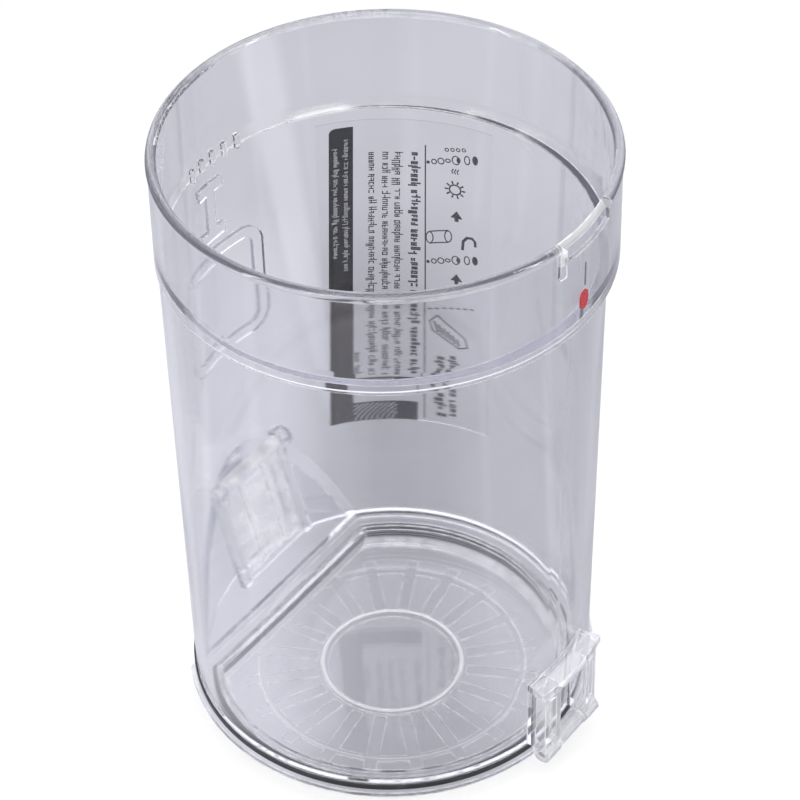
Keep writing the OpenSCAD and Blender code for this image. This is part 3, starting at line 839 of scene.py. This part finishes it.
class DUSTBIN_OT_stage(bpy.types.Operator):
    """Makes the floor, the surroundings, the soft lamps and the camera"""
    bl_idname = "dust_bin.stage"
    bl_label = "Stage"

    def execute(self, context):
        look = settings(context, "stage")
        scene = context.scene
        a, e = look.azimuth, look.elevation
        back = Vector((math.sin(a) * math.cos(e), -math.cos(a) * math.cos(e), math.sin(e)))
        right = Vector((math.cos(a), math.sin(a), 0))

        bm = bmesh.new()
        bmesh.ops.create_grid(bm, x_segments=1, y_segments=1, size=6.0)
        mesh = bpy.data.meshes.new("floor")
        bm.to_mesh(mesh)
        bm.free()
        floor = bpy.data.objects.new("floor", mesh)
        scene.collection.objects.link(floor)
        made, shade = material("floor")
        mesh.materials.append(made)
        uneven = shade.noise(14.0, 3.0)
        matt = shade.node("BsdfDiffuse", None, {
            "Color": shade.mix(
                uneven.step(0.3, 0.7), rgb(look.floor), rgb([c * 0.995 for c in look.floor]))})
        spot = shade.place()
        x = shade.along(0, spot)
        y = shade.along(1, spot)
        aside = x * right.x + y * right.y
        beyond = x * -right.y + y * right.x
        streak = shade.noise(9.0, 2.0, spot)
        # Painted light and shade on the floor that the plastic shows: darker far to the sides, brighter
        # close to the bin, and a painted shadow beside it
        edge = shade.size(aside).step(*EDGE_ASIDE)
        close = beyond.step(*CLOSE)
        painted_shadow = aside.step(*PAINTED_SHADOW_ASIDE) * close * (1.0 - 0.45 * aside.step(*PAINTED_SHADOW_END))
        tone = 0.96 + 0.14 * close - 0.40 * painted_shadow - 0.35 * edge + 0.25 * (streak - 0.5)
        turn = x.math("ARCTAN2", y, x)
        away = shade.node("VectorMath", {"operation": "LENGTH"}, {0: spot}, 1)
        reach = away.step(*STRIPS_FROM)
        for middle, half, gain in STRIPS:
            off = shade.size(turn - math.radians(middle))
            tone = tone + gain * reach * off.step(math.radians(half), math.radians(half) * 0.4)
        seen = shade.node("Emission", None, {"Color": shade.bright(look.backdrop, tone), "Strength": 1.0})
        glossy = shade.ray("Is Glossy Ray")
        passing = shade.ray("Is Transmission Ray")
        camera = shade.ray("Is Camera Ray")
        clear = shade.node("BsdfTransparent", None, {"Color": (1, 1, 1, 1)})
        open_share = camera * (0.6 + 0.4 * away.step(*SEE_THROUGH))
        matt = shade.node("MixShader", None, {0: open_share, 1: matt, 2: clear})
        in_plastic = glossy.math("MAXIMUM", glossy, passing)
        shade.surface(shade.node("MixShader", None, {0: in_plastic, 1: matt, 2: seen}))

        world = bpy.data.worlds.new("surroundings")
        scene.world = world
        shade = Shader(world)
        spot = shade.node("TexCoord", output="Generated")
        height = shade.along(2, spot)
        across = shade.node("VectorMath", {"operation": "DOT_PRODUCT"}, {0: spot, 1: tuple(right)}, 1)
        panels = height.math("SINE", height * PANEL_WAVES, 0.0).step(-0.1, 0.25)
        gaps = across.math("SINE", across * GAP_WAVES + GAP_SHIFT, 0.0).step(-0.75, -0.45)
        tone = 0.30 + 1.9 * panels * gaps
        camera = shade.ray("Is Camera Ray")
        seen = camera.math("MAXIMUM", shade.ray("Is Glossy Ray"), shade.ray("Is Transmission Ray"))
        plain = shade.node("Background", None, {"Color": (1, 1, 1, 1), "Strength": 0.55})
        around = shade.node("Background", None, {
            "Color": shade.bright(look.backdrop, tone), "Strength": 1.0})
        white = shade.node("Background", None, {"Color": (1, 1, 1, 1), "Strength": 1.0})
        lit = shade.node("MixShader", None, {0: seen, 1: plain, 2: around})
        shade.node_output("OutputWorld", shade.node("MixShader", None, {0: camera, 1: lit, 2: white}))

        level = Vector((back.x, back.y, 0)).normalized()
        up = Vector((0, 0, 1))
        soft_lamp("lamp_top", 8.0, (0.8, 0.8), up * 1.3 + level * 0.2, (0, 0, 0.05), look)
        for name, (power, size, (aside, near, high)) in LAMPS.items():
            soft_lamp(name, power, size, MIDDLE + right * aside + level * near + up * high, MIDDLE, look)

        data = bpy.data.cameras.new("camera")
        data.sensor_fit = "HORIZONTAL"
        data.sensor_width = SENSOR
        data.lens = SENSOR * look.focal
        data.shift_x = (PICTURE / 2 - PICTURE_POINT[0]) / PICTURE
        data.shift_y = (PICTURE_POINT[1] - PICTURE / 2) / PICTURE
        data.clip_start = 0.05
        data.clip_end = 20
        camera = bpy.data.objects.new("camera", data)
        camera.location = MIDDLE + back * look.distance
        camera.rotation_mode = "QUATERNION"
        lean = Matrix.Rotation(look.roll, 4, "Z").to_quaternion()
        camera.rotation_quaternion = (-back).to_track_quat("-Z", "Y") @ lean
        scene.collection.objects.link(camera)
        scene.camera = camera
        scene.view_settings.view_transform = "Standard"
        scene.cycles.max_bounces = 28
        scene.cycles.transmission_bounces = 24
        scene.cycles.glossy_bounces = 8
        scene.cycles.transparent_max_bounces = 24
        return {"FINISHED"}


STEPS = (
    DUSTBIN_OT_clear_plastic,
    DUSTBIN_OT_trim,
    DUSTBIN_OT_label,
    DUSTBIN_OT_print,
    DUSTBIN_OT_marks,
    DUSTBIN_OT_stage,
)
GROUPS = {
    "plastic": PlasticSettings,
    "trim": TrimSettings,
    "label": LabelSettings,
    "stage": StageSettings,
}


class DUSTBIN_PT_panel(bpy.types.Panel):
    """The bin's settings and steps"""
    bl_idname = "DUSTBIN_PT_panel"
    bl_label = "Dust bin"
    bl_space_type = "VIEW_3D"
    bl_region_type = "UI"
    bl_category = "Dust bin"

    def draw(self, context):
        for name, group in GROUPS.items():
            box = self.layout.box()
            for key in group.__annotations__:
                box.prop(settings(context, name), key)
        for step in STEPS:
            self.layout.operator(step.bl_idname)


def register():
    for group in (*GROUPS.values(), *STEPS, DUSTBIN_PT_panel):
        bpy.utils.register_class(group)
    for name, group in GROUPS.items():
        setattr(bpy.types.Scene, "dust_bin_" + name, bpy.props.PointerProperty(type=group))


def unregister():
    for name in GROUPS:
        delattr(bpy.types.Scene, "dust_bin_" + name)
    for group in (DUSTBIN_PT_panel, *reversed(STEPS), *reversed(GROUPS.values())):
        bpy.utils.unregister_class(group)


def main():
    register()
    for step in STEPS:
        family, name = step.bl_idname.split(".")
        getattr(getattr(bpy.ops, family), name)()


if __name__ == "__main__":
    main()
